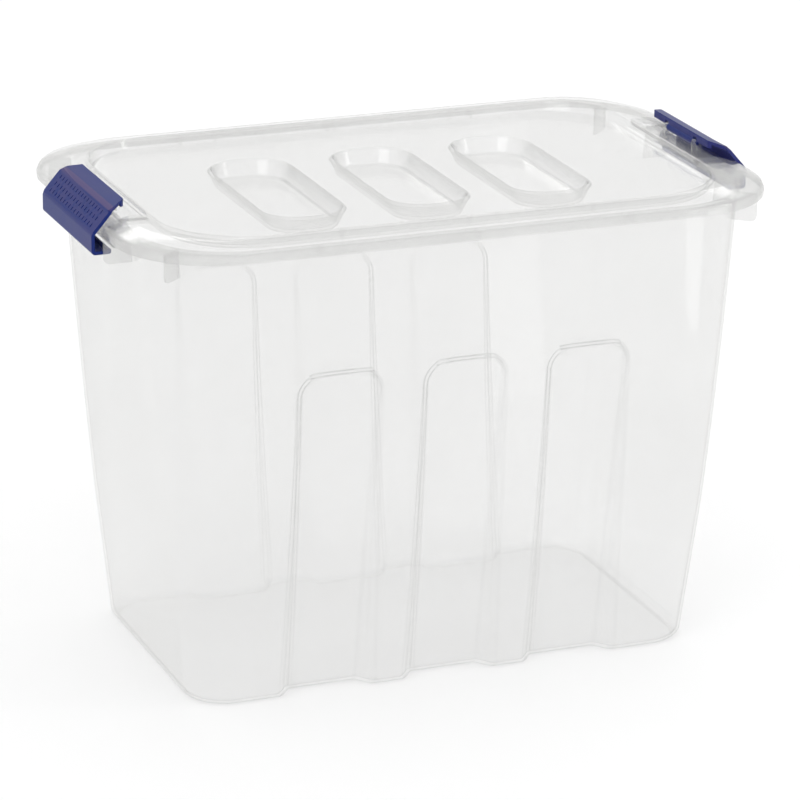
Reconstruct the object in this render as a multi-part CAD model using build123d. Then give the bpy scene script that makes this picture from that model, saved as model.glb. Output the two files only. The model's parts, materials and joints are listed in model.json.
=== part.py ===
# Clear storage box with a clip-on lid and two swing latches.
# Millimetres, +Z up, origin at the middle of the bottom face, long side along X.
from build123d import *
import os

# ---------------------------------------------------------------- driving dimensions
# tub walls: one rounded rectangle at the floor and a larger one under the rim;
# the corners keep their radius up to the first level and open out above it
BASE_LENGTH, BASE_WIDTH, BASE_RADIUS = 471, 267, 40
TOP_LENGTH, TOP_WIDTH, TOP_RADIUS = 546, 352, 80
WALL_LEVELS = (120, 190, 260, 340, 421) # heights between which the walls are ruled
CORNER_OPENING_POWER = 1.4              # how late the corners open out
WALL = 2.2
FLOOR = 2.5
FOOT_INSET, FOOT_HEIGHT = 7, 8          # rounded-under edge around the floor

# tub rim: a flat flange with a turned-down lip
RIM_TOP = 421
RIM_PLATE = 2
RIM_LENGTH, RIM_WIDTH, RIM_RADIUS = 582.6, 372.6, 86
RIM_LIP_BOTTOM = 414
LATCH_LEDGE_X = 285.5                   # outer face of the ledge that a latch hooks under
LATCH_LEDGE_BOTTOM = 403
WEB = 2                                 # thickness of the webs under the rim
END_WEB_Y, END_WEB_REACH = 73, 294.5
END_WEB_BOTTOM = 390
CORNER_WEB_ANGLE, CORNER_WEB_BOTTOM = 40, 395
SIDE_RIB_PITCH = 141

# three recessed panels on each long side
PANEL_COUNT, PANEL_PITCH, PANEL_WIDTH = 3, 114, 77
PANEL_TOP, PANEL_CORNER = 302, 21
PANEL_DEPTH_TOP, PANEL_DEPTH_BOTTOM = 3.5, 14.5

# lid
LID_LENGTH, LID_WIDTH, LID_RADIUS = 590, 380, 90
SKIRT_BOTTOM, SKIRT_TOP, SKIRT_DRAFT = 414, 424, 1
CREST_TOP, CREST_INSET, CREST_RADIUS = 429.5, 24.5, 68
DISH_LENGTH, DISH_WIDTH, DISH_RADIUS = 504, 326, 75   # opening of the sunk middle, at the crest
DISH_FLOOR, DISH_DRAFT = 420, 4
POCKET_LENGTH, POCKET_WIDTH, POCKET_RADIUS = 186, 72, 30
POCKET_FLOOR, POCKET_DRAFT = 406, 6
NOTCH_X, NOTCH_HALF = 276.5, 71         # gap in the lid rim where a latch sits
SEAT_INNER_X, SEAT_TOP = 254.5, 424     # sunk seat behind the latch
DISH_RIB_Y, DISH_RIB_TOP = 158.5, 427.5 # small ribs on the long walls of the sunk middle

# latch, drawn for the +X end; its plate runs from the lip over a crease and a shoulder to the foot
PIVOT_X, PIVOT_Z = 272.5, 431.5
LIP_X, LIP_TOP, LIP_BOTTOM = 270.8, 440.3, 433.5
CREASE_X, CREASE_Z = 285, 436.2
SHOULDER_X, SHOULDER_Z = 303, 415.5
FOOT_Z, FOOT_ROUNDING = 397, 3.5
HOOK_GAP, HOOK_HEIGHT = 0.3, 5          # hook tip to ledge, and height of the tip
HOOK_ROUNDING = 2
LATCH_SKIN = 3
LATCH_HALF, LATCH_INNER_HALF = 69, 56
PIN_RADIUS, PIN_CLEARANCE = 1.8, 0.06
KNUCKLE_HALF, KNUCKLE_RADIUS = 26, 3.4
EAR_GAP, EAR_THICKNESS, EAR_RADIUS = 0.4, 6, 3.6
GRIP_COLUMNS, GRIP_PITCH = 16, 7.6
GRIP_ROWS = (0.27, 0.53, 0.79)          # places of the rows between the crease and the shoulder
GRIP_SIZE, GRIP_DEPTH = (3.6, 1.5), 0.45

BIG = 1000


# ---------------------------------------------------------------- shared helpers
def outline(length, width, radius, z):
    """Rounded rectangle face lying flat at height z."""
    return Plane.XY.offset(z) * RectangleRounded(length, width, radius)


def tapered_block(lower, upper):
    """Solid between two rounded rectangles, each given as (length, width, radius, z)."""
    return loft([outline(*lower), outline(*upper)], ruled=True)


def stack(sections):
    """Tapered blocks one on top of another."""
    body = tapered_block(sections[0], sections[1])
    for lower, upper in zip(sections[1:], sections[2:]):
        body += tapered_block(lower, upper)
    return body


def grown(section, by):
    """The same rounded rectangle, larger all round by `by`."""
    length, width, radius, z = section
    return (length + 2 * by, width + 2 * by, radius + by, z)


def block(x_span, y_span, z_span):
    """Box between the given coordinates."""
    spans = (x_span, y_span, z_span)
    size = [high - low for low, high in spans]
    middle = [(low + high) / 2 for low, high in spans]
    return Pos(*middle) * Box(*size)


def both_sides(shape, plane):
    """The shape together with its mirror image."""
    return [shape, mirror(shape, about=plane)]


def panel_centres():
    """X positions of the recessed panels, which the lid's pockets line up with."""
    first = -(PANEL_COUNT - 1) / 2 * PANEL_PITCH
    return [first + index * PANEL_PITCH for index in range(PANEL_COUNT)]


def wall_section(z):
    """Outer rounded rectangle of the tub wall at height z, above the foot."""
    rise = z / RIM_TOP
    corner_start = WALL_LEVELS[0]
    opening = (max(0, z - corner_start) / (RIM_TOP - corner_start)) ** CORNER_OPENING_POWER
    length = BASE_LENGTH + (TOP_LENGTH - BASE_LENGTH) * rise
    width = BASE_WIDTH + (TOP_WIDTH - BASE_WIDTH) * rise
    radius = BASE_RADIUS + (TOP_RADIUS - BASE_RADIUS) * opening
    return (length, width, radius, z)


# ---------------------------------------------------------------- tub
def panel_wedge(centre_x, margin):
    """Space cut into the front wall by one recessed panel; margin thickens the wall behind it."""
    width = PANEL_WIDTH + 2 * margin
    top = PANEL_TOP + margin
    height = top + BIG / 10
    arch = Plane.XZ * Pos(centre_x, top - height / 2) * RectangleRounded(
        width, height, PANEL_CORNER + margin
    )
    column = extrude(arch, BIG / 2)
    floor_y = BASE_WIDTH / 2 - PANEL_DEPTH_BOTTOM - margin
    top_y = wall_section(PANEL_TOP)[1] / 2 - PANEL_DEPTH_TOP - margin
    slope = (top_y - floor_y) / PANEL_TOP
    below, above = -BIG / 20, RIM_TOP
    side = Plane.YZ * make_face(Polyline(
        (-BIG / 2, below),
        (-floor_y - slope * below, below),
        (-floor_y - slope * above, above),
        (-BIG / 2, above),
        close=True,
    ))
    depth = extrude(side, BIG / 2, both=True)
    return column & depth


def cut_panels(body, margin):
    """Take the panel wedges out of both long sides."""
    for centre_x in panel_centres():
        for wedge in both_sides(panel_wedge(centre_x, margin), Plane.XZ):
            body -= wedge
    return body


def tub_shell():
    """Walls and floor, with recessed panels of even thickness."""
    bottom = grown(wall_section(0), -FOOT_INSET)
    inside_bottom = grown(wall_section(FLOOR), -WALL - FOOT_INSET * (1 - FLOOR / FOOT_HEIGHT))
    above = [wall_section(z) for z in (FOOT_HEIGHT, *WALL_LEVELS)]
    outside = stack([bottom, *above])
    inside = stack([inside_bottom, *[grown(section, -WALL) for section in above]])
    return cut_panels(outside, 0) - cut_panels(inside, WALL)


def tub_rim():
    """Flange and turned-down lip, with a deep ledge at each end for the latches."""
    plate_bottom = RIM_TOP - RIM_PLATE
    rim = (RIM_LENGTH, RIM_WIDTH, RIM_RADIUS)
    ring = extrude(outline(*rim, RIM_LIP_BOTTOM), RIM_TOP - RIM_LIP_BOTTOM)
    channel = grown((*rim, RIM_LIP_BOTTOM), -RIM_PLATE)
    ring -= extrude(outline(*channel), plate_bottom - RIM_LIP_BOTTOM)
    opening = grown(wall_section(RIM_TOP), -WALL)
    ring -= extrude(outline(*opening[:3], RIM_LIP_BOTTOM), RIM_TOP - RIM_LIP_BOTTOM)
    latch_span = (-END_WEB_Y, END_WEB_Y)
    gap = block((LATCH_LEDGE_X, BIG), latch_span, (0, BIG))
    ledge = block((LATCH_LEDGE_X - RIM_PLATE, LATCH_LEDGE_X), latch_span, (LATCH_LEDGE_BOTTOM, RIM_TOP))
    for cut in both_sides(gap, Plane.YZ):
        ring -= cut
    for added in both_sides(ledge, Plane.YZ):
        ring += added
    return ring


def end_web():
    """Upright web beside a latch, from the wall out past the lip, with a rounded lower corner."""
    wall_x = wall_section(END_WEB_BOTTOM)[0] / 2 - WALL / 2
    height = RIM_TOP - END_WEB_BOTTOM
    face = Plane.XZ * Pos(END_WEB_REACH - 30, END_WEB_BOTTOM + height / 2) * RectangleRounded(60, height, 6)
    web = Pos(0, END_WEB_Y + WEB / 2, 0) * extrude(face, WEB / 2, both=True)
    beyond_lip = block((RIM_LENGTH / 2, BIG), (0, BIG), (SKIRT_BOTTOM - 0.6, BIG))
    return web & block((wall_x, BIG), (0, BIG), (0, RIM_TOP)) - beyond_lip


def corner_web():
    """Upright web square to the rounded corner, from the wall out to the lip."""
    length, width, radius, _ = wall_section(RIM_TOP)
    height = RIM_TOP - 1 - CORNER_WEB_BOTTOM
    face = Plane.XZ * Pos(radius, CORNER_WEB_BOTTOM + height / 2) * RectangleRounded(34, height, 5)
    web = extrude(face, WEB / 2, both=True)
    web = Pos(length / 2 - radius, width / 2 - radius, 0) * Rot(0, 0, CORNER_WEB_ANGLE) * web
    rim = grown((RIM_LENGTH, RIM_WIDTH, RIM_RADIUS, CORNER_WEB_BOTTOM), -RIM_PLATE / 2)
    return web & extrude(outline(*rim), height)


def side_rib(x):
    """Short rib inside the rim lip of a long side, at x."""
    wall_y, lip_y = TOP_WIDTH / 2 - WALL, RIM_WIDTH / 2 - RIM_PLATE / 2
    return block((x - WEB / 2, x + WEB / 2), (wall_y, lip_y), (RIM_LIP_BOTTOM, RIM_TOP - 1))


def tub():
    body = tub_shell() + tub_rim()
    webs = [side_rib(x) for x in (-SIDE_RIB_PITCH, 0, SIDE_RIB_PITCH)]
    webs += both_sides(end_web(), Plane.YZ)
    webs += both_sides(corner_web(), Plane.YZ)
    upper_walls = [wall_section(z) for z in WALL_LEVELS[-2:]]
    room = stack([grown(section, -WALL / 2) for section in upper_walls])
    for web in webs:
        for each in both_sides(web - room, Plane.XZ):
            body += each
    return body


# ---------------------------------------------------------------- lid
def rim_block(inset):
    """Solid under the lid's outer surface, moved inwards by `inset`."""
    skirt = (LID_LENGTH, LID_WIDTH, LID_RADIUS, SKIRT_BOTTOM)
    shoulder = (*grown(skirt, -SKIRT_DRAFT)[:3], SKIRT_TOP - inset)
    crest = (*grown(skirt, -CREST_INSET)[:2], CREST_RADIUS, CREST_TOP - inset)
    lower = tapered_block(grown(skirt, -inset), grown(shoulder, -inset))
    return lower + tapered_block(grown(shoulder, -inset), grown(crest, -inset / 3))


def dish(margin):
    """The sunk middle of the lid, grown by margin for its outer skin."""
    mouth = (DISH_LENGTH, DISH_WIDTH, DISH_RADIUS, CREST_TOP + margin)
    floor = (*grown(mouth, -DISH_DRAFT)[:3], DISH_FLOOR - margin)
    return tapered_block(grown(floor, margin), grown(mouth, margin))


def pocket(centre_x, margin):
    """One oblong pocket in the lid."""
    mouth = (POCKET_WIDTH, POCKET_LENGTH, POCKET_RADIUS, DISH_FLOOR)
    floor = (*grown(mouth, -POCKET_DRAFT)[:3], POCKET_FLOOR - margin)
    return Pos(centre_x, 0, 0) * tapered_block(grown(floor, margin), grown(mouth, margin))


def latch_seat():
    """Flat seat for the latch hinge and the walls that close the rim on each side of it."""
    seat = block((SEAT_INNER_X, NOTCH_X), (-NOTCH_HALF, NOTCH_HALF), (SEAT_TOP - WALL, SEAT_TOP))
    rim = rim_block(0)
    cheek = block((SEAT_INNER_X, BIG), (NOTCH_HALF, NOTCH_HALF + WEB), (RIM_TOP + 0.6, BIG))
    cheeks = [rim & each for each in both_sides(cheek, Plane.XZ)]
    return [seat, *cheeks]


def dish_rib(x):
    """Small upright rib on the back wall of the sunk middle, at x."""
    return block((x - WEB / 2, x + WEB / 2), (DISH_RIB_Y, DISH_WIDTH / 2 + WALL / 2), (DISH_FLOOR, DISH_RIB_TOP))


def hinge_ear():
    """Lug with a bore for one end of the latch pin, on the +Y side of the knuckle."""
    y_span = (KNUCKLE_HALF + EAR_GAP, KNUCKLE_HALF + EAR_GAP + EAR_THICKNESS)
    foot = block((PIVOT_X - EAR_RADIUS, PIVOT_X + EAR_RADIUS), y_span, (SEAT_TOP - 1, PIVOT_Z))
    return foot + along_y(EAR_RADIUS, *y_span) - along_y(PIN_RADIUS + PIN_CLEARANCE, *y_span)


def along_y(radius, start, end):
    """Cylinder on the latch pivot."""
    middle = Pos(PIVOT_X, (start + end) / 2, PIVOT_Z)
    return middle * Rot(90, 0, 0) * Cylinder(radius, end - start)


def lid():
    under = rim_block(WALL) - dish(WALL)
    body = rim_block(0) - under - dish(0)
    for centre_x in panel_centres():
        body += pocket(centre_x, WALL)
        body -= pocket(centre_x, 0)
    body -= block((-BIG, BIG), (-BIG, BIG), (-BIG, POCKET_FLOOR - WALL))
    notch = block((NOTCH_X, BIG), (-NOTCH_HALF, NOTCH_HALF), (0, BIG))
    sink = block((SEAT_INNER_X, BIG), (-NOTCH_HALF, NOTCH_HALF), (SEAT_TOP, BIG))
    for cut in (*both_sides(notch, Plane.YZ), *both_sides(sink, Plane.YZ)):
        body -= cut
    ears = both_sides(hinge_ear(), Plane.XZ)
    for added in (*latch_seat(), *ears):
        for each in both_sides(added, Plane.YZ):
            body += each
    for centre_x in panel_centres():
        for rib in both_sides(dish_rib(centre_x), Plane.XZ):
            body += rib
    return body


# ---------------------------------------------------------------- latch
def latch_profile():
    """Cross-section of the latch plate in XZ, from the inner lip over to the hook."""
    hook_x = LATCH_LEDGE_X + HOOK_GAP
    inner_lip_x, inner_foot_z = LIP_X + LATCH_SKIN, FOOT_Z + LATCH_SKIN
    section = make_face(Polyline(
        (LIP_X, LIP_TOP),
        (CREASE_X, CREASE_Z),
        (SHOULDER_X, SHOULDER_Z),
        (SHOULDER_X, FOOT_Z),
        (hook_x, FOOT_Z),
        (hook_x, FOOT_Z + HOOK_HEIGHT),
        (hook_x + 3, FOOT_Z + HOOK_HEIGHT),
        (hook_x + 4.5, inner_foot_z),
        (SHOULDER_X - LATCH_SKIN, inner_foot_z),
        (SHOULDER_X - LATCH_SKIN, SHOULDER_Z - 1.2),
        (CREASE_X - 1.2, CREASE_Z - LATCH_SKIN),
        (inner_lip_x, LIP_TOP - LATCH_SKIN - 0.8),
        (inner_lip_x, LIP_BOTTOM),
        (LIP_X, LIP_BOTTOM),
        close=True,
    ))
    roundings = (
        (SHOULDER_X, FOOT_Z, FOOT_ROUNDING),
        (hook_x, FOOT_Z, HOOK_ROUNDING),
        (hook_x, FOOT_Z + HOOK_HEIGHT, HOOK_ROUNDING),
    )
    for x, z, radius in roundings:
        corner = section.vertices().sort_by_distance((x, z, 0))[0]
        section = fillet(corner, radius)
    return section


def latch_outline_trim():
    """Plan view of the latch: narrower at the hinge edge than at the crease."""
    half = [(260, LATCH_INNER_HALF - 8), (LIP_X, LATCH_INNER_HALF), (CREASE_X, LATCH_HALF), (320, LATCH_HALF)]
    other_half = [(x, -y) for x, y in reversed(half)]
    return extrude(make_face(Polyline(*half, *other_half, close=True)), BIG)


def grip_dashes():
    """Rows of short grooves on the sloping face of the latch."""
    crease, shoulder = Vector(CREASE_X, 0, CREASE_Z), Vector(SHOULDER_X, 0, SHOULDER_Z)
    down = (shoulder - crease).normalized()
    outward = Vector(-down.Z, 0, down.X)
    length = (shoulder - crease).length
    grooves = []
    for row in GRIP_ROWS:
        along = length * row
        for column in range(GRIP_COLUMNS):
            y = (column - (GRIP_COLUMNS - 1) / 2) * GRIP_PITCH
            place = Plane(crease + down * along + Vector(0, y, 0), x_dir=down, z_dir=outward)
            grooves.append(place * Box(GRIP_SIZE[0], GRIP_SIZE[1], 2 * GRIP_DEPTH))
    return grooves


def latch():
    """Latch for the +X end, with its hinge knuckle and pin in one piece."""
    plate = extrude(Plane.XZ * latch_profile(), LATCH_HALF, both=True) & latch_outline_trim()
    ear_room = block(
        (0, PIVOT_X + 3), (KNUCKLE_HALF, KNUCKLE_HALF + EAR_THICKNESS + 2 * EAR_GAP), (0, LIP_BOTTOM + 3.2)
    )
    for cut in both_sides(ear_room, Plane.XZ):
        plate -= cut
    pin_half = KNUCKLE_HALF + EAR_GAP + EAR_THICKNESS - 0.5
    knuckle = along_y(KNUCKLE_RADIUS, -KNUCKLE_HALF, KNUCKLE_HALF)
    web = block((LIP_X, LIP_X + LATCH_SKIN), (-KNUCKLE_HALF, KNUCKLE_HALF), (PIVOT_Z, LIP_BOTTOM + 1))
    plate = plate + web + knuckle + along_y(PIN_RADIUS, -pin_half, pin_half)
    return plate - grip_dashes()


# ---------------------------------------------------------------- export
def main():
    os.makedirs("parts", exist_ok=True)
    right_latch = latch()
    nodes = {
        "tub": tub(),
        "lid": lid(),
        "latch_right": right_latch,
        "latch_left": mirror(right_latch, about=Plane.YZ),
    }
    for name, shape in nodes.items():
        export_step(shape, f"parts/{name}.step")


main()
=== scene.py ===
"""Clear storage box with a clip-on lid and two blue swing latches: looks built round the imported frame."""
import json
import math

import bmesh
import bpy
from mathutils import Matrix, Vector


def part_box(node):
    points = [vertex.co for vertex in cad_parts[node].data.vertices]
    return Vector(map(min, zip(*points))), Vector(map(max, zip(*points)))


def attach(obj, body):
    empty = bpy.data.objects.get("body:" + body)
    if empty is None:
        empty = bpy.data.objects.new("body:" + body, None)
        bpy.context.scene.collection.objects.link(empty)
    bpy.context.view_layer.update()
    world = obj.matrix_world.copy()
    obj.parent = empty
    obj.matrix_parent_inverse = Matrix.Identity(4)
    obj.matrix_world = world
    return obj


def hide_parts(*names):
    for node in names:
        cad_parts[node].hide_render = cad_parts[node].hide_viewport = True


MM = 0.001

# ---------------------------------------------------------------- sizes, in millimetres
WALL = 2.2                              # thickness of the tub's walls and of the lid
SKIRT_BOTTOM = 414                      # lower edge of the lid

# tub walls and floor
TUB_BASE = (471, 267, 40)               # length, width, corner radius of the walls at the floor
TUB_TOP = (546, 352, 80)                # the same at the rim
CORNER_START, CORNER_POWER = 120, 1.4   # where and how late the corners open out
FOOT_RADIUS = 9                         # rounding under the floor edge
FOOT_STEPS = 6
FLOOR_THICKNESS = 2.5

# tub rim
RIM_RADIUS = 86
RIM_PLATE = 2
RIM_LIP_DROP = 7
LEDGE_X, LEDGE_DROP = 285.5, 18         # face and depth of the ledge that a latch hooks under
# Section of the rim, from under its plate, round the bottom of its lip and over its top: how far out from
# the outer face, how far below the top, and what share of the lip's drop is added.
RIM_SECTION = (
    (-RIM_PLATE - 1.2, 2, 0), (-RIM_PLATE - 0.3, 2.4, 0), (-RIM_PLATE, 3.2, 0),
    (-RIM_PLATE, 0, 0.985), (-RIM_PLATE + 0.4, 0, 1), (-0.4, 0, 1), (0, 0, 0.985),
    (0, 1.6, 0), (-0.35, 0.7, 0), (-0.9, 0.2, 0), (-1.8, 0, 0))
# Roundings between wall and rim. UNDER_RIM: how far out from the wall's outer face, and how far under the
# plate. MOUTH: how far out from its inner face, and how far under the top.
UNDER_RIM = ((0.3, 1.2), (1.2, 0.3), (3.0, 0))
MOUTH = ((2.2, 0), (1.2, 0.2), (0.5, 0.7), (0.1, 1.6))

# webs and ribs under the tub rim
END_WEB_Y, END_WEB_DROP, END_WEB_REACH = 73, 31, 294.5
CORNER_WEB_ANGLE, CORNER_WEB_DROP = 40, 26
SIDE_RIB_PITCH = 141
RIB_HALF = 1                            # half the thickness of a web or rib

# recessed panels of the long sides; top and bottom give the value at the arch and at the floor
PANEL_CENTRES = (-114, 0, 114)
PANEL_TOP, PANEL_CORNER = 302, 21
PANEL_HALF_TOP, PANEL_HALF_BOTTOM = 37.5, 44
PANEL_DEPTH_TOP, PANEL_DEPTH_BOTTOM = 3.5, 14.5
PANEL_BLEND_TOP, PANEL_BLEND_BOTTOM = 2.6, 16
PANEL_FLARE = 1.6                       # how late the panels widen towards the floor

# lid
LID_RADIUS = 90
CREST_TOP, CREST_INSET, CREST_RADIUS = 429.5, 24.5, 68
CREST_BAND = 3                          # rows this near the crest take its corner radius
DISH = (504, 326, 75)                   # opening of the sunk middle, at the crest
DISH_DEPTH = 9.5
DISH_RIB_Y, DISH_RIB_DROP = 158.5, 2
POCKET = (72, 186, 30)
POCKET_DEPTH, POCKET_DRAFT = 14, 6
POCKET_ARC_STEPS = 10

# gap in the lid's rim for a latch, and the sunk seat behind it
NOTCH_X, NOTCH_HALF = 276.5, 71
SEAT_INNER_X, SEAT_DROP = 254.5, 5.5    # the seat lies this far under the crest
SEAT_EDGE = SEAT_INNER_X - DISH[0] / 2

# bored lugs that hold a latch pin
LUG_REACH, LUG_SPAN = 3.6, (26.4, 32.4)
BORE_RADIUS = 1.86

# latch
CREASE = (285, 436.2, 3.6, 1)           # folds of the latch: x, z, rounding and how strong a painted highlight they get
SHOULDER = (303, 415.5, 2.4, 0.15)
LATCH_EDGE = 0.45

# ---------------------------------------------------------------- how finely the surfaces are divided
LONG_REACH, END_REACH = 168, 84         # columns on straight sides stay inside these
FINE_REACH = 166                        # and the fine columns inside this
ARC_STEPS = 20
TUB_LONG_STEP, LID_LONG_STEP, END_STEP = 8, 24, 14
FINE_STEP = 0.8                         # across the edges of the panels
FINE_BELOW, FINE_ABOVE = 10, 9          # how far fine columns go on the low and high side of an edge
WEB_STEP = 0.1                          # where the tub rim steps back to the ledge at a latch
NOTCH_STEP, NOTCH_SPAN = 0.35, 1.4      # beside a latch gap of the lid: spacing, and reach each way

# ---------------------------------------------------------------- look of the clear plastic
EDGE_POWER = 8                          # how suddenly the painted shade of clear plastic sets in edge on
# colour of the painted shade in bends and on edge-on faces
PAINTED_SHADE_COLOUR = (0.22, 0.22, 0.22)
FLAT_BEND, TIGHT_BEND = 0.04, 0.45      # radians per millimetre where the painted shade of a bend starts to show, and shows fully
SHORTEST_EDGE = 0.25                    # shorter mesh edges count as this long when a bend is measured
FOLD_POWER = 1.5                        # how much stronger the painted shade of a bend shows edge on
RIM_FOLD = 0.25                         # bends of the rims show their painted shade this much as strongly as others
RIM_ZONE = (245, 156, 400)              # the rims lie outside this x or y, above this z
WEB_MARK, RIB_MARK = -1, -2             # values of the fold layer on webs and on small ribs
WEB_MILKINESS = 0.07                    # webs look this much denser than the walls
RIB_THINNING = 0.15                     # and small ribs this much less dense than webs
WEB_EDGE_SHARE = 0.1                    # webs take this share of the painted edge-on shade
LOW_START, LOW_END = 0.17, 0.05         # heights, in metres, over which the low part's change of milkiness sets in; on the tub it is painted light, a clearer and lighter low part against the shade beneath it
FACE_GLOSS, EDGE_GLOSS = 0.04, 0.55     # share of mirror reflection face on and edge on
GLOSS_POWER = 5
PLASTIC_IOR = 1.49


# ---------------------------------------------------------------- outlines
def lerp(a, b, t):
    return a + (b - a) * t


def ease(t):
    """Smooth step from 0 to 1."""
    t = min(max(t, 0.0), 1.0)
    return t * t * (3 - 2 * t)


def grown(section, by):
    length, width, radius = section
    return (length + 2 * by, width + 2 * by, radius + by)


def blended(a, b, t):
    return tuple(lerp(p, q, t) for p, q in zip(a, b))


def place(section, column):
    """Point of a rounded rectangle for one column of the sweep."""
    length, width, radius = section
    kind, a, b = column
    if kind == "long":
        return (b, a * width / 2)
    if kind == "end":
        return (a * length / 2, b)
    qx, qy = a
    angle = math.radians(b)
    x = qx * (length / 2 - radius) + radius * math.cos(angle)
    y = qy * (width / 2 - radius) + radius * math.sin(angle)
    return (x, y)


def columns(long_stops, end_stops):
    """Columns once round the box, anticlockwise from the front left."""
    arc = [step * 90 / ARC_STEPS for step in range(ARC_STEPS + 1)]
    path = [("long", -1, x) for x in long_stops]
    path += [("arc", (1, -1), a - 90) for a in arc]
    path += [("end", 1, y) for y in end_stops]
    path += [("arc", (1, 1), a) for a in arc]
    path += [("long", 1, -x) for x in long_stops]
    path += [("arc", (-1, 1), a + 90) for a in arc]
    path += [("end", -1, -y) for y in end_stops]
    path += [("arc", (-1, -1), a + 180) for a in arc]
    return path


def spread(low, high, step):
    count = max(1, round((high - low) / step))
    return [lerp(low, high, i / count) for i in range(count + 1)]


def stops(limit, coarse, fine_spans):
    """Sorted positions from -limit to limit: coarse steps, with finer ones inside the given spans."""
    found = set(round(v, 3) for v in spread(-limit, limit, coarse))
    for low, high, step in fine_spans:
        found = {v for v in found if not low - coarse / 3 < v < high + coarse / 3}
        found |= set(round(v, 3) for v in spread(low, high, step))
    return sorted(found)


# ---------------------------------------------------------------- mesh helpers
def new_mesh_object(name, bm):
    mesh = bpy.data.meshes.new(name)
    bm.to_mesh(mesh)
    bm.free()
    mesh.polygons.foreach_set("use_smooth", [True] * len(mesh.polygons))
    obj = bpy.data.objects.new(name, mesh)
    bpy.context.scene.collection.objects.link(obj)
    return obj


def new_shell():
    """Empty mesh with the layer that tells the clear plastic where it bends."""
    bm = bmesh.new()
    bm.verts.layers.float.new("fold")
    return bm


def sweep(bm, rows):
    """Quads between rows of points that each run once round the box."""
    grid = [[bm.verts.new(Vector(p) * MM) for p in row] for row in rows]
    size = len(grid[0])
    for lower, upper in zip(grid, grid[1:]):
        for i in range(size):
            j = (i + 1) % size
            bm.faces.new((lower[i], lower[j], upper[j], upper[i]))
    return grid


def prism(bm, outline, axis, start, end, kind):
    """Closed prism: a 2D outline, in millimetres, pushed along an axis (0 x, 1 y)."""
    def at(point, along):
        coords = list(point)
        coords.insert(axis, along)
        return bm.verts.new(Vector(coords) * MM)
    close_prism(bm, [at(p, start) for p in outline], [at(p, end) for p in outline], kind)


def close_prism(bm, first, last, kind):
    """Faces of a closed prism between two matching rings; kind is WEB_MARK or RIB_MARK."""
    fold = bm.verts.layers.float["fold"]
    for vert in (*first, *last):
        vert[fold] = kind
    bm.faces.new(first)
    bm.faces.new(list(reversed(last)))
    for i in range(len(first)):
        j = (i + 1) % len(first)
        bm.faces.new((first[j], first[i], last[i], last[j]))


def fill_flat(bm, rings, normal):
    """Flat faces inside the first ring and outside the others."""
    edges = []
    for ring in rings:
        for i, vert in enumerate(ring):
            pair = (vert, ring[(i + 1) % len(ring)])
            edges.append(bm.edges.get(pair) or bm.edges.new(pair))
    bmesh.ops.triangle_fill(bm, use_beauty=True, edges=edges, normal=normal)


def mark_folds(bm):
    """Store how tightly the surface curves at each point: the clear plastic's material paints shade into its
    bends.
    """
    fold = bm.verts.layers.float.get("fold")
    if fold is None:
        return
    bm.normal_update()
    for vert in bm.verts:
        if vert[fold] < 0 or any(len(face.verts) != 4 for face in vert.link_faces):
            continue
        bend = 0
        for edge in vert.link_edges:
            turn = vert.normal.angle(edge.other_vert(vert).normal, 0)
            bend = max(bend, turn / max(edge.calc_length() / MM, SHORTEST_EDGE))
        x, y, z = [abs(v) / MM for v in vert.co]
        at_rim = z > RIM_ZONE[2] and (x > RIM_ZONE[0] or y > RIM_ZONE[1])
        tightness = ease((bend - FLAT_BEND) / (TIGHT_BEND - FLAT_BEND))
        vert[fold] = tightness * (RIM_FOLD if at_rim else 1)


def finish_mesh(obj, bevel=0.0):
    """Outward faces, an optional rounded edge, and shading that keeps flat faces flat."""
    bm = bmesh.new()
    bm.from_mesh(obj.data)
    bmesh.ops.recalc_face_normals(bm, faces=bm.faces[:])
    mark_folds(bm)
    bm.to_mesh(obj.data)
    bm.free()
    if bevel:
        rounding = obj.modifiers.new("rounding", "BEVEL")
        rounding.width = bevel * MM
        rounding.segments = 3
        rounding.limit_method = "ANGLE"
        rounding.angle_limit = math.radians(30)
        rounding.harden_normals = True
    shading = obj.modifiers.new("shading", "WEIGHTED_NORMAL")
    shading.keep_sharp = True
    shading.weight = 60


# ---------------------------------------------------------------- tub
def wall_at(z, rim_top):
    """Outer rounded rectangle of the tub at height z."""
    length, width, _ = blended(TUB_BASE, TUB_TOP, z / rim_top)
    opening = (max(0, z - CORNER_START) / (rim_top - CORNER_START)) ** CORNER_POWER
    return (length, width, lerp(TUB_BASE[2], TUB_TOP[2], opening))


def panel_dent(x, z, margin):
    """How far a long side is pressed in at x, z. margin widens it for the inner face."""
    t = min(max(1 - z / PANEL_TOP, 0.0), 1.0)
    half = lerp(PANEL_HALF_TOP, PANEL_HALF_BOTTOM, t ** PANEL_FLARE) + margin
    radius = PANEL_CORNER + margin
    blend = lerp(PANEL_BLEND_TOP, PANEL_BLEND_BOTTOM, t)
    nearest = min(abs(x - centre) for centre in PANEL_CENTRES)
    over_x = nearest - (half - radius)
    over_z = z - (PANEL_TOP + margin - radius)
    outside = math.hypot(max(over_x, 0), max(over_z, 0)) + min(max(over_x, over_z), 0) - radius
    return lerp(PANEL_DEPTH_TOP, PANEL_DEPTH_BOTTOM, t) * ease(-outside / blend)


def tub_row(path, section, z, dent_margin=None):
    """One row of tub points; dent_margin is None above the panels."""
    row = []
    for column in path:
        x, y = place(section, column)
        if dent_margin is not None and column[0] == "long":
            y -= column[1] * panel_dent(x, z, dent_margin)
        row.append((x, y, z))
    return row


def rim_row(path, rim, rim_top, out, down, lip_share):
    """One row of the turned-down rim, which is deeper and set back where a latch hooks on."""
    row = []
    for column in path:
        at_latch = column[0] == "end" and abs(column[2]) < END_WEB_Y
        section = grown((2 * LEDGE_X, rim[1], rim[2]) if at_latch else rim, out)
        drop = LEDGE_DROP if at_latch else RIM_LIP_DROP
        row.append((*place(section, column), rim_top - down - lip_share * drop))
    return row


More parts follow.
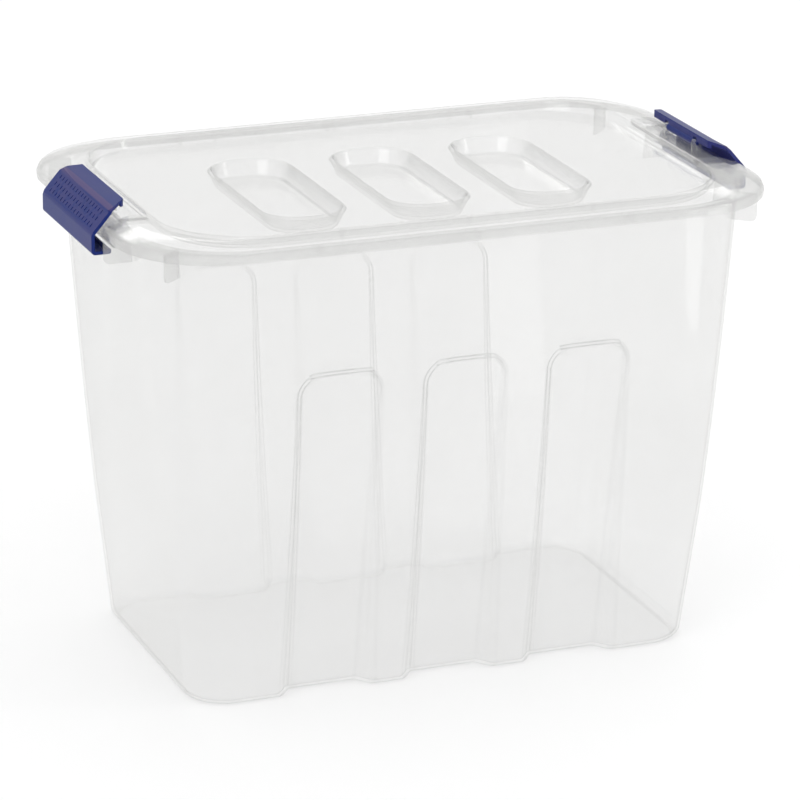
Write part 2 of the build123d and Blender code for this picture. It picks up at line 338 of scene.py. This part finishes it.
def tub_levels(rim_top):
    """Heights of the wall rows, closer together round the arched tops of the panels."""
    arch_start = PANEL_TOP - PANEL_CORNER
    low = spread(FOOT_RADIUS, arch_start - 8, 9)
    arch = spread(arch_start - 6, PANEL_TOP + 3, FINE_STEP)
    high = spread(PANEL_TOP + 12, rim_top - 5, 12)
    return low + arch + high


def tub_path():
    """Columns of the tub, closer together across the edges of the panels and beside each latch."""
    edges = [c + s * PANEL_HALF_TOP for c in PANEL_CENTRES for s in (-1, 1)]
    panels = [(max(e - FINE_BELOW, -FINE_REACH), min(e + FINE_ABOVE, FINE_REACH), FINE_STEP) for e in edges]
    webs = [(s * END_WEB_Y - WEB_STEP, s * END_WEB_Y + WEB_STEP, WEB_STEP) for s in (-1, 1)]
    return columns(stops(LONG_REACH, TUB_LONG_STEP, panels), stops(END_REACH, END_STEP, webs))


def build_tub():
    low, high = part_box("tub")
    rim_top = high.z / MM
    # The box includes the end webs, so this rim is 3.2 mm longer at each end than the rim of the CAD tub.
    rim = ((high.x - low.x) / MM, (high.y - low.y) / MM, RIM_RADIUS)
    path = tub_path()
    levels = tub_levels(rim_top)
    rows = []

    foot = wall_at(FOOT_RADIUS, rim_top)
    for step in range(FOOT_STEPS + 1):
        angle = math.radians(step * 90 / FOOT_STEPS)
        inset = FOOT_RADIUS * (1 - math.sin(angle))
        rows.append(tub_row(path, grown(foot, -inset), FOOT_RADIUS * (1 - math.cos(angle)), 0))
    rows += [tub_row(path, wall_at(z, rim_top), z, 0) for z in levels[1:]]

    wall_top = wall_at(rim_top, rim_top)
    rows += [tub_row(path, grown(wall_top, out), rim_top - RIM_PLATE - down) for out, down in UNDER_RIM]
    rows += [rim_row(path, rim, rim_top, *point) for point in RIM_SECTION]
    rows += [tub_row(path, grown(wall_top, out - WALL), rim_top - down) for out, down in MOUTH]
    rows += [tub_row(path, grown(wall_at(z, rim_top), -WALL), z, WALL) for z in reversed(levels)]

    inner_radius = FOOT_RADIUS - FLOOR_THICKNESS
    for step in range(1, FOOT_STEPS + 1):
        angle = math.radians(90 - step * 90 / FOOT_STEPS)
        inset = WALL + inner_radius * (1 - math.sin(angle))
        z = FLOOR_THICKNESS + inner_radius * (1 - math.cos(angle))
        rows.append(tub_row(path, grown(foot, -inset), z, WALL))

    bm = new_shell()
    grid = sweep(bm, rows)
    bm.faces.new(list(reversed(grid[0])))
    bm.faces.new(grid[-1])
    add_end_webs(bm, rim, rim_top)
    add_side_ribs(bm, rim, rim_top)
    add_corner_webs(bm, rim, rim_top)
    obj = new_mesh_object("tub_shell", bm)
    finish_mesh(obj)
    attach(obj, "tub")
    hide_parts("tub")
    return obj


def mid_wall(z, rim_top, which):
    """Distance of the middle of the wall from the tub's middle: which is 0 for an end, 1 for a side."""
    return wall_at(z, rim_top)[which] / 2 - WALL / 2


def rounded_corner(x, z, radius):
    """Quarter round from the bottom edge at z up to the edge at x."""
    turns = [math.radians(15 * i) for i in range(7)]
    return [(x - radius + radius * math.sin(a), z + radius - radius * math.cos(a)) for a in turns]


def add_end_webs(bm, rim, rim_top):
    """Upright webs under the rim on both sides of each latch, reaching out past the lid."""
    lip = rim[0] / 2 - 0.3
    low = rim_top - END_WEB_DROP
    skirt = SKIRT_BOTTOM - 0.6
    face = [(mid_wall(rim_top, rim_top, 0), rim_top - 1), (mid_wall(low, rim_top, 0), low)]
    face += rounded_corner(END_WEB_REACH, low, 6)
    face += [(END_WEB_REACH, skirt), (lip, skirt), (lip, rim_top - 1)]
    inner, outer = END_WEB_Y + 0.05, END_WEB_Y + 2 * RIB_HALF
    for sx in (-1, 1):
        for sy in (-1, 1):
            prism(bm, [(sx * x, z) for x, z in face], 1, sy * inner, sy * outer, WEB_MARK)


def add_side_ribs(bm, rim, rim_top):
    """Small ribs inside the rim lip along the long sides."""
    wall = mid_wall(rim_top, rim_top, 1)
    top, bottom, lip = rim_top - 1, rim_top - RIM_LIP_DROP, rim[1] / 2 - 1
    face = [(wall, top), (wall, bottom), (lip, bottom), (lip, top)]
    for x in (-SIDE_RIB_PITCH, 0, SIDE_RIB_PITCH):
        for sy in (-1, 1):
            prism(bm, [(sy * y, z) for y, z in face], 0, x - RIB_HALF, x + RIB_HALF, RIB_MARK)


def add_corner_webs(bm, rim, rim_top):
    """One web at each corner, running straight out from the rounded wall to the rim lip."""
    low = rim_top - CORNER_WEB_DROP
    angle = math.radians(CORNER_WEB_ANGLE)
    out = Vector((math.cos(angle), math.sin(angle)))
    across = Vector((-out.y, out.x))
    centre, low_centre, rim_centre = [
        Vector((length / 2 - radius, width / 2 - radius))
        for length, width, radius in (wall_at(rim_top, rim_top), wall_at(low, rim_top), rim)]
    top_reach = wall_at(rim_top, rim_top)[2] - WALL / 2
    low_reach = (low_centre - centre).dot(out) + wall_at(low, rim_top)[2] - WALL / 2
    reach = (rim_centre - centre).dot(out) + rim[2] - 1.2
    face = [(top_reach, rim_top - 1), (low_reach, low), *rounded_corner(reach, low, 5), (reach, rim_top - 1)]
    for sx in (-1, 1):
        for sy in (-1, 1):
            rings = []
            for side in (-RIB_HALF, RIB_HALF):
                spots = [(centre + out * r + across * side, z) for r, z in face]
                rings.append([bm.verts.new(Vector((sx * p.x, sy * p.y, z)) * MM) for p, z in spots])
            close_prism(bm, *rings, WEB_MARK)


# ---------------------------------------------------------------- lid
def lid_section(crest):
    """Section of the lid on a plain side: its upper face from the dish out, and its lower face back in.

    Each point is an outline, how far out from it, and a height. The outline is "rim" for the outer edge
    or "dish" for the edge of the sunk middle."""
    floor = crest - DISH_DEPTH
    shoulder = crest - CREST_INSET * 0.22
    skirt = SKIRT_BOTTOM
    dish_wall = [
        (-5.6, floor), (-4.4, floor + 0.25), (-3.6, floor + 1.0), (-3.1, floor + 2.2),
        (-0.9, crest - 2.0), (-0.5, crest - 0.9), (0.2, crest - 0.25), (0.9, crest),
        (SEAT_EDGE - 0.5, crest), (SEAT_EDGE - 0.1, crest), (SEAT_EDGE + 0.1, crest)]
    outside = [
        (-CREST_INSET, crest), (-CREST_INSET + 2, crest - 0.25), (-5.0, shoulder - 0.35),
        (-3.2, shoulder - 0.95), (-1.9, shoulder - 1.9), (-1.2, shoulder - 3.2),
        (-0.95, skirt + 5.1), (-0.75, skirt + 4.7), (-0.12, skirt + 4.4), (0.0, skirt + 4.0),
        (0.0, skirt + 0.5), (-0.15, skirt + 0.15), (-0.5, skirt)]
    inside = [
        (-WALL + 0.4, skirt), (-WALL + 0.1, skirt + 0.4), (-WALL - 0.5, shoulder - WALL - 2.2),
        (-WALL - 1.4, shoulder - WALL - 0.9), (-WALL - 3.2, shoulder - WALL - 0.3),
        (-CREST_INSET, crest - WALL)]
    under_dish = [
        (WALL + 1.9, crest - WALL), (WALL + 0.5, crest - WALL - 0.6), (WALL - 0.3, crest - WALL - 1.8),
        (WALL - 3.4, floor + 0.6), (WALL - 4.2, floor - WALL + 1.0),
        (WALL - 5.2, floor - WALL + 0.2), (WALL - 6.4, floor - WALL)]
    top = [("dish", *p) for p in dish_wall] + [("rim", *p) for p in outside]
    under = [("rim", *p) for p in inside] + [("dish", *p) for p in under_dish]
    return top, under


def lid_row(path, outline, out, z, lid, seat, underside):
    """One row of lid points, cut back to the flat seat where a latch sits."""
    section = grown(DISH if outline == "dish" else lid, out)
    if outline == "rim" and out <= -CREST_INSET + CREST_BAND:
        section = (section[0], section[1], CREST_RADIUS)
    skin = WALL if underside else 0
    row = []
    for column in path:
        x, y = place(section, column)
        height = z
        if column[0] == "end" and abs(column[2]) < NOTCH_HALF + skin:
            if abs(x) > SEAT_INNER_X - skin:
                height = seat - WALL if underside else max(min(z, seat), seat - WALL)
            x = column[1] * min(abs(x), NOTCH_X)
        row.append((x, y, height))
    return row


def pocket_rings(bm, centre, top_z, skin):
    """Rows of one pocket from its mouth down to its floor. Returns the mouth ring."""
    quarter = [step * 90 / POCKET_ARC_STEPS for step in range(POCKET_ARC_STEPS + 1)]
    path = []
    for qx, qy, start in ((1, -1, -90), (1, 1, 0), (-1, 1, 90), (-1, -1, 180)):
        path += [("arc", (qx, qy), start + a) for a in quarter]
    section_points = [
        (1.6, 0), (0.7, 0.08), (0.2, 0.4), (-0.1, 1.1),
        (-POCKET_DRAFT + 0.8, POCKET_DEPTH - 2.2), (-POCKET_DRAFT + 0.1, POCKET_DEPTH - 0.9),
        (-POCKET_DRAFT - 0.8, POCKET_DEPTH - 0.2), (-POCKET_DRAFT - 2.2, POCKET_DEPTH)]
    rows = []
    for out, down in section_points:
        section = grown(POCKET, out + skin)
        rows.append([(centre + x, y, top_z - down) for x, y in (place(section, c) for c in path)])
    grid = sweep(bm, rows)
    bm.faces.new(grid[-1])
    return grid[0]


def build_lid():
    low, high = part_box("lid")
    lid = ((high.x - low.x) / MM, (high.y - low.y) / MM, LID_RADIUS)
    crest = CREST_TOP
    seat = crest - SEAT_DROP
    floor = crest - DISH_DEPTH
    wall_y = NOTCH_HALF + WALL / 2
    notch = [(s * wall_y - NOTCH_SPAN, s * wall_y + NOTCH_SPAN, NOTCH_STEP) for s in (-1, 1)]
    path = columns(stops(LONG_REACH, LID_LONG_STEP, []), stops(END_REACH, END_STEP, notch))
    top, under = lid_section(crest)
    rows = [lid_row(path, *p, lid, seat, False) for p in top]
    rows += [lid_row(path, *p, lid, seat, True) for p in under]
    bm = new_shell()
    grid = sweep(bm, list(reversed(rows)))
    upper = [pocket_rings(bm, c, floor, 0) for c in PANEL_CENTRES]
    lower = [pocket_rings(bm, c, floor - WALL, WALL) for c in PANEL_CENTRES]
    fill_flat(bm, [grid[-1], *upper], (0, 0, 1))
    fill_flat(bm, [grid[0], *lower], (0, 0, -1))
    add_hinge_ears(bm, seat)
    add_dish_ribs(bm, crest, floor)
    obj = new_mesh_object("lid_shell", bm)
    finish_mesh(obj)
    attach(obj, "lid")
    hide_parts("lid")
    return obj


def add_dish_ribs(bm, crest, floor):
    """Small upright ribs on the long walls of the sunk middle, in line with the pockets."""
    wall, top = DISH[1] / 2, crest - DISH_RIB_DROP
    face = [(DISH_RIB_Y, floor - 0.5), (wall - 1.5, floor - 0.5), (wall + 0.6, top - 1),
            (wall + 0.2, top), (DISH_RIB_Y + 0.6, top), (DISH_RIB_Y, top - 0.8)]
    for x in PANEL_CENTRES:
        for side in (-1, 1):
            prism(bm, [(side * y, z) for y, z in face], 0, x - RIB_HALF, x + RIB_HALF, RIB_MARK)


def add_hinge_ears(bm, seat):
    """Two bored lugs at each end that hold the latch pin."""
    arc = [math.radians(a * 7.5) for a in range(25)]
    for joint in frame["joints"]:
        if joint["type"] != "hinge":
            continue
        x, _, z = [v / MM for v in joint["pos_m"]]
        outer = [(x + LUG_REACH * math.cos(a), z + LUG_REACH * math.sin(a)) for a in arc]
        outer += [(x - LUG_REACH, seat - 1), (x + LUG_REACH, seat - 1)]
        for side in (-1, 1):
            lug_with_bore(bm, outer, (x, z), *(side * y for y in LUG_SPAN))


def lug_with_bore(bm, outer, centre, start, end):
    """Prism along Y with a round hole through it."""
    turns = [math.radians(a * 15) for a in range(24)]
    circle = [(centre[0] + BORE_RADIUS * math.cos(a), centre[1] + BORE_RADIUS * math.sin(a)) for a in turns]
    rings = []
    for along in (start, end):
        rings.append([[bm.verts.new(Vector((x, along, z)) * MM) for x, z in loop] for loop in (outer, circle)])
    for first, last in zip(*rings):
        for i in range(len(first)):
            j = (i + 1) % len(first)
            bm.faces.new((first[i], first[j], last[j], last[i]))
    for pair in rings:
        fill_flat(bm, pair, (0, 1, 0))


# ---------------------------------------------------------------- latches
def build_latch(node):
    """The latch moulding with its edges softened and its two folds rounded."""
    bm = bmesh.new()
    bm.from_mesh(frame["nodes"][node].data)
    bmesh.ops.remove_doubles(bm, verts=bm.verts[:], dist=0.01 * MM)
    bmesh.ops.dissolve_limit(bm, angle_limit=math.radians(0.6), verts=bm.verts[:], edges=bm.edges[:])
    # painted highlight: a share stored on the rounded folds, which the latch material turns paler
    painted_highlight = bm.verts.layers.float.new("painted_highlight")
    for x, z, rounding, highlight_share in (CREASE, SHOULDER):
        def off_fold(vert):
            return math.hypot(abs(vert.co.x) / MM - x, vert.co.z / MM - z)
        fold = [e for e in bm.edges if all(off_fold(v) < 0.1 for v in e.verts)]
        made = bmesh.ops.bevel(bm, geom=fold, offset=rounding * MM, offset_type="OFFSET", segments=4,
                               profile=0.5, affect="EDGES")
        for vert in made["verts"]:
            if off_fold(vert) < 0.95 * rounding:
                vert[painted_highlight] = highlight_share
    obj = new_mesh_object(node + "_moulding", bm)
    finish_mesh(obj, LATCH_EDGE)
    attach(obj, node)
    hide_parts(node)
    return obj


# ---------------------------------------------------------------- materials
class Shader:
    """A new material, with short ways to add and join its nodes."""

    def __init__(self, name):
        self.material = bpy.data.materials.new(name)
        self.material.use_nodes = True
        self.tree = self.material.node_tree
        self.tree.nodes.clear()
        self.link = self.tree.links.new

    def node(self, kind, settings=None, **inputs):
        """settings are the node's own properties; the rest are input sockets, with _ for a space."""
        node = self.tree.nodes.new(kind)
        for key, value in (settings or {}).items():
            setattr(node, key, value)
        for key, value in inputs.items():
            self.set(node.inputs[key.replace("_", " ")], value)
        return node

    def set(self, socket, value):
        """Join a socket to another node's output, or give it a fixed value."""
        if isinstance(value, bpy.types.NodeSocket):
            self.link(value, socket)
        else:
            socket.default_value = value

    def noise(self, where, scale, detail, roughness):
        return self.node("ShaderNodeTexNoise", Vector=where, Scale=scale, Detail=detail,
                         Roughness=roughness).outputs["Fac"]

    def calc(self, operation, *values, clamp=False):
        node = self.node("ShaderNodeMath", {"operation": operation, "use_clamp": clamp})
        for socket, value in zip(node.inputs, values):
            self.set(socket, value)
        return node.outputs[0]

    def ramp(self, value, low, high, to_low, to_high):
        """Straight ramp from to_low at low to to_high at high, level beyond both."""
        return self.node("ShaderNodeMapRange", Value=value, From_Min=low, From_Max=high, To_Min=to_low,
                         To_Max=to_high).outputs[0]

    def colour(self, share, first, second):
        return self.node("ShaderNodeMix", {"data_type": "RGBA"}, Factor=share, A=first,
                         B=second).outputs["Result"]

    def bump(self, height, strength, distance, **normal):
        return self.node("ShaderNodeBump", Height=height, Strength=strength, Distance=distance,
                         **normal).outputs["Normal"]

    def surface(self, shaded):
        """Use a node's first output as the material's surface, and return the material."""
        self.node("ShaderNodeOutputMaterial", Surface=shaded.outputs[0])
        return self.material


def clear_plastic(name, colour, milkiness, low_change, edge_alpha, fold_alpha, roughness):
    """Clear moulded polypropylene: a thin even milk, with painted shade in its bends and where it is seen edge
    on.

    low_change is added to the milkiness near the floor; the tub's negative value is painted light, lightening
    its low part against the shade beneath the box."""
    shader = Shader(name)
    where = shader.node("ShaderNodeTexCoord").outputs["Object"]
    height = shader.node("ShaderNodeSeparateXYZ", Vector=where).outputs["Z"]
    facing = shader.node("ShaderNodeLayerWeight", Blend=0.5).outputs["Facing"]
    fold = shader.node("ShaderNodeAttribute", {"attribute_name": "fold"}).outputs["Fac"]
    cloud = shader.noise(where, 5.0, 4.0, 0.55)
    ripple = shader.bump(shader.noise(where, 14.0, 3.0, 0.5), 0.25, 0.0015)
    normal = shader.bump(shader.noise(where, 420.0, 2.0, 0.6), 0.10, 0.0002, Normal=ripple)

    edge_on = shader.calc("POWER", facing, EDGE_POWER)
    slant = shader.calc("POWER", facing, FOLD_POWER)
    bend = shader.calc("MULTIPLY", shader.calc("MAXIMUM", fold, 0), slant)

    # how much of the light is stopped: the milk, with webs and ribs apart, then edges and bends, which carry
    # the painted shade
    # painted light: a negative low_change makes the low part clearer, so it shows lighter over the shade
    # beneath the box
    milk = shader.ramp(height, LOW_START, LOW_END, milkiness, milkiness + low_change)
    web = shader.ramp(fold, 0, WEB_MARK, 0, WEB_MILKINESS)
    rib = shader.ramp(fold, WEB_MARK, RIB_MARK, 0, -RIB_THINNING)
    milk = shader.calc("ADD", milk, shader.calc("ADD", web, rib))
    milk = shader.calc("MULTIPLY", milk, shader.ramp(cloud, 0.3, 0.7, 0.9, 1.1))
    edge_share = shader.ramp(fold, WEB_MARK, 0, WEB_EDGE_SHARE * edge_alpha, edge_alpha)
    edge = shader.calc("MULTIPLY", edge_share, edge_on)
    dense = shader.calc("MULTIPLY_ADD", bend, fold_alpha, edge)
    alpha = shader.calc("ADD", milk, dense, clamp=True)

    # painted shade: bends and edge-on faces are tinted towards the shade colour
    painted_shade = shader.calc("MAXIMUM", bend, edge_on)
    tint = shader.colour(painted_shade, (*colour, 1), (*PAINTED_SHADE_COLOUR, 1))
    rough = shader.ramp(cloud, 0, 1, roughness * 0.8, roughness * 1.3)
    body = shader.node("ShaderNodeBsdfPrincipled", IOR=PLASTIC_IOR, Base_Color=tint, Roughness=rough,
                       Alpha=alpha, Normal=normal)
    gloss = shader.node("ShaderNodeBsdfGlossy", Color=(1, 1, 0.99, 1), Roughness=rough, Normal=normal)
    share = shader.ramp(shader.calc("POWER", facing, GLOSS_POWER), 0, 1, FACE_GLOSS, EDGE_GLOSS)
    mixed = shader.node("ShaderNodeMixShader", Fac=share)
    shader.link(body.outputs[0], mixed.inputs[1])
    shader.link(gloss.outputs[0], mixed.inputs[2])
    return shader.surface(mixed)


def latch_plastic():
    """Indigo moulded plastic with a fine grain, and a painted highlight that makes its convex edges and its
    crease paler.
    """
    shader = Shader("blue_latch")
    where = shader.node("ShaderNodeTexCoord").outputs["Object"]
    cloud = shader.noise(where, 28.0, 4.0, 0.6)
    grain = shader.noise(where, 900.0, 2.0, 0.6)
    tint = shader.colour(cloud, (0.010, 0.024, 0.14, 1), (0.018, 0.034, 0.19, 1))
    # painted highlight: convex edges, found by pointiness, made paler
    painted_edge_highlight = shader.ramp(shader.node("ShaderNodeNewGeometry").outputs["Pointiness"], 0.52, 0.62, 0, 0.3)
    painted_highlight = shader.node("ShaderNodeAttribute", {"attribute_name": "painted_highlight"}).outputs["Fac"]
    pale = shader.colour(shader.calc("MAXIMUM", painted_edge_highlight, painted_highlight), tint, (0.085, 0.066, 0.18, 1))
    body = shader.node("ShaderNodeBsdfPrincipled", IOR=PLASTIC_IOR, Specular_IOR_Level=0.07,
                       Base_Color=pale, Roughness=shader.ramp(cloud, 0, 1, 0.26, 0.40),
                       Normal=shader.bump(grain, 0.18, 0.0002))
    return shader.surface(body)


def floor_paper():
    """Plain pale floor."""
    shader = Shader("floor_paper")
    return shader.surface(shader.node("ShaderNodeBsdfDiffuse", Color=(0.97, 0.97, 0.97, 1)))


# ---------------------------------------------------------------- stage
def build_floor():
    bm = bmesh.new()
    bmesh.ops.create_grid(bm, x_segments=2, y_segments=2, size=12)
    floor = new_mesh_object("floor", bm)
    floor.data.materials.append(floor_paper())


def soft_light(name, place_at, size, power, target=(0, 0, 0.3)):
    data = bpy.data.lights.new(name, "AREA")
    data.shape = "RECTANGLE"
    data.size, data.size_y = size
    data.energy = power
    lamp = bpy.data.objects.new(name, data)
    lamp.location = place_at
    lamp.rotation_euler = (Vector(target) - Vector(place_at)).to_track_quat("-Z", "Y").to_euler()
    bpy.context.scene.collection.objects.link(lamp)


def build_lights():
    """Even white surroundings, soft panels, and a small panel that the front right corner reflects."""
    world = bpy.data.worlds.new("studio")
    bpy.context.scene.world = world
    world.use_nodes = True
    background = world.node_tree.nodes["Background"]
    background.inputs["Color"].default_value = (1, 1, 1, 1)
    background.inputs["Strength"].default_value = 0.95
    soft_light("key", (-1.4, -1.6, 2.2), (1.6, 1.2), 8)
    soft_light("fill", (2.0, -1.2, 1.5), (0.25, 1.4), 4)
    soft_light("low_panel", (0.589, -0.583, 0.25), (0.27, 0.46), 0.28, (0.25, -0.15, 0.25))
    soft_light("back", (0.8, 2.2, 1.9), (2.2, 0.4), 7)


def build_camera():
    """Long lens, a little above the lid and round to the left, as in a catalogue shot."""
    azimuth, elevation, roll = math.radians(-21.8), math.radians(18.9), math.radians(0.6)
    distance, lens = 3.776, 191.2
    target = Vector((0.003, -0.001, 0.212))
    level = math.cos(elevation)
    back = Vector((math.sin(azimuth) * level, -math.cos(azimuth) * level, math.sin(elevation)))
    right = Vector((math.cos(azimuth), math.sin(azimuth), 0))
    up = back.cross(right)
    rolled_right = right * math.cos(roll) + up * math.sin(roll)
    rolled_up = up * math.cos(roll) - right * math.sin(roll)
    turn = Matrix((rolled_right, rolled_up, back)).transposed().to_4x4()
    data = bpy.data.cameras.new("camera")
    data.sensor_width = 36
    data.lens = lens
    data.clip_end = 60
    camera = bpy.data.objects.new("camera", data)
    camera.matrix_world = Matrix.Translation(target + back * distance) @ turn
    bpy.context.scene.collection.objects.link(camera)
    bpy.context.scene.camera = camera


# ---------------------------------------------------------------- scene
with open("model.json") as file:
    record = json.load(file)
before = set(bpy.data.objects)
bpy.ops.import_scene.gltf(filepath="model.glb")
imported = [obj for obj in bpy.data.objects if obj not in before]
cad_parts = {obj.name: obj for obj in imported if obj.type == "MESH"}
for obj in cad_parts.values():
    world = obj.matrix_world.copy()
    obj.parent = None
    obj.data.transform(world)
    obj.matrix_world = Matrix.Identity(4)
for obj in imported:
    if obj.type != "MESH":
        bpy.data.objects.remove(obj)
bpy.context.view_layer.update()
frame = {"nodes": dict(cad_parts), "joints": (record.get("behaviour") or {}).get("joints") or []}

bpy.context.scene.view_settings.view_transform = "Standard"
bpy.context.scene.cycles.transparent_max_bounces = 40    # a ray can cross this many clear surfaces
build_camera()
build_lights()
build_floor()

tub = build_tub()
lid = build_lid()
latches = [build_latch(name) for name in ("latch_left", "latch_right")]

# the tub's negative low_change is painted light: a clearer, lighter low part against the shade under the box
tub.data.materials.append(clear_plastic(
    "clear_tub", colour=(0.52, 0.52, 0.51), milkiness=0.114, low_change=-0.06,
    edge_alpha=0.8, fold_alpha=0.6, roughness=0.08))
lid.data.materials.append(clear_plastic(
    "clear_lid", colour=(0.54, 0.54, 0.53), milkiness=0.10, low_change=0.0,
    edge_alpha=0.7, fold_alpha=0.5, roughness=0.10))
blue = latch_plastic()
for latch in latches:
    latch.data.materials.clear()
    latch.data.materials.append(blue)
